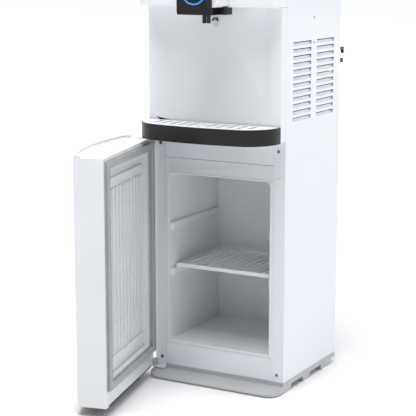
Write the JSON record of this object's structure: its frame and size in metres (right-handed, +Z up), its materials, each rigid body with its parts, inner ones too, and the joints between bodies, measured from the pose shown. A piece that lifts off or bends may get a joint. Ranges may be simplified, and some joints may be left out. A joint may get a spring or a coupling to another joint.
{
  "type": "water dispenser",
  "caption": "Free-standing top-loading hot and cold water dispenser with a refrigerated lower cabinet, open door, drip tray and ring-lit tap.",
  "frame": {"origin": "on the floor under the middle of the cabinet", "axes": "+Z up, +Y towards the rear, +X to the right as seen from the front; the door hinges on the left"},
  "size_m": [0.373, 0.6096, 0.9912],
  "materials": {
    "cabinet_steel": "gloss",
    "white_plastic": "gloss",
    "liner_plastic": "satin",
    "grille_plastic": "gloss",
    "black_gloss_plastic": "gloss",
    "black_plastic": "satin",
    "plinth_plastic": "satin",
    "gasket_vinyl": "matte",
    "foam": "matte",
    "ring_lens": "gloss",
    "sensor_lens": "gloss",
    "float_plastic": "gloss",
    "tank_steel": "satin",
    "zinc_steel": "satin",
    "spring_steel": "satin",
    "alu_plate": "satin",
    "copper": "satin",
    "heater_mica": "satin",
    "compressor_black": "satin",
    "rubber_grey": "matte",
    "silicone": "satin",
    "condenser_black": "satin",
    "condenser_rail_grey": "satin",
    "board_green": "satin",
    "valve_plastic": "satin",
    "rocker_red": "gloss",
    "rocker_green": "gloss",
    "screw_steel": "polished"
  },
  "bodies": {
    "cabinet": {"plinth_base": "plinth_plastic", "side_panel_left": "cabinet_steel", "side_panel_right": "cabinet_steel", "rear_panel": "cabinet_steel", "front_rail_lower": "cabinet_steel", "upper_rail_panel": "cabinet_steel", "fridge_liner": "liner_plastic", "insulation_foam": "foam", "fridge_evaporator": "alu_plate", "alcove_panel": "white_plastic", "tray_support": "zinc_steel", "head_fascia": "white_plastic", "top_cover": "white_plastic", "tap_nose": "white_plastic", "tap_bar": "black_gloss_plastic", "tap_housing": "black_gloss_plastic", "ring_light": "ring_lens", "button_spring": "spring_steel", "dispense_nozzles": "black_plastic", "cup_sensor_hood": "black_plastic", "cup_sensor_lens": "sensor_lens", "solenoid_valves": "valve_plastic", "control_board": "board_green", "cold_tank": "tank_steel", "evaporator_coil": "copper", "cold_tank_jacket": "foam", "hot_tank": "tank_steel", "heater_band": "heater_mica", "thermostats": "black_plastic", "compressor_deck": "zinc_steel", "compressor": "compressor_black", "compressor_feet": "rubber_grey", "filter_drier": "copper", "refrigerant_lines": "copper", "water_hoses": "silicone", "condenser_coil": "condenser_black", "condenser_wires": "condenser_black", "condenser_rails": "condenser_rail_grey", "condenser_brackets": "black_plastic", "switch_plate": "black_plastic", "power_inlet": "black_plastic", "drain_spout": "valve_plastic", "hinge_brackets": "cabinet_steel", "frame_screws": "screw_steel"},
    "door": {"door_shell": "white_plastic", "door_caps": "white_plastic", "door_foam": "foam", "door_liner": "liner_plastic", "door_gasket": "gasket_vinyl", "door_knuckles": "zinc_steel"},
    "tray": {"drip_tray": "black_gloss_plastic"},
    "grille": {"drip_grille": "grille_plastic"},
    "float": {"tray_float": "float_plastic"},
    "shelf": {"fridge_shelf": "grille_plastic"},
    "button": {"dispense_button": "black_gloss_plastic"},
    "hot_rocker_body": {"hot_rocker": "rocker_red"},
    "cold_rocker_body": {"cold_rocker": "rocker_green"},
    "drain_cap_body": {"drain_cap": "black_plastic"},
    "bottle_seat_body": {"bottle_seat": "white_plastic", "bottle_probe": "valve_plastic"}
  },
  "joints": [
    {"name": "door_hinge", "type": "hinge", "parent": "cabinet", "child": "door", "pos_m": [-0.1545, -0.1375, 0.27], "axis": [0, 0, -1], "range_deg": [-76.4, 53.6]},
    {"name": "tray_slide", "type": "slide", "parent": "cabinet", "child": "tray", "axis": [0, -1, 0], "range_m": [0, 0.08]},
    {"name": "grille_lift", "type": "slide", "parent": "tray", "child": "grille", "axis": [0, 0, 1], "range_m": [0, 0.03]},
    {"name": "float_rise", "type": "slide", "parent": "tray", "child": "float", "axis": [0, 0, 1], "range_m": [0, 0.008]},
    {"name": "shelf_slide", "type": "slide", "parent": "cabinet", "child": "shelf", "axis": [0, -1, 0], "range_m": [0, 0.12]},
    {"name": "button_press", "type": "slide", "parent": "cabinet", "child": "button", "axis": [0, 1, 0], "range_m": [0, 0.002], "stiffness_N_per_m": 500, "deforming": ["button_spring"]},
    {"name": "hot_switch", "type": "hinge", "parent": "cabinet", "child": "hot_rocker_body", "pos_m": [-0.098, 0.13, 0.7], "axis": [1, 0, 0], "range_deg": [0, 14]},
    {"name": "cold_switch", "type": "hinge", "parent": "cabinet", "child": "cold_rocker_body", "pos_m": [-0.062, 0.13, 0.7], "axis": [1, 0, 0], "range_deg": [0, 14]},
    {"name": "drain_cap_off", "type": "slide", "parent": "cabinet", "child": "drain_cap_body", "axis": [0, 1, 0], "range_m": [0, 0.02]},
    {"name": "bottle_seat_lift", "type": "slide", "parent": "cabinet", "child": "bottle_seat_body", "axis": [0, 0, 1], "range_m": [0, 0.08]}
  ]
}
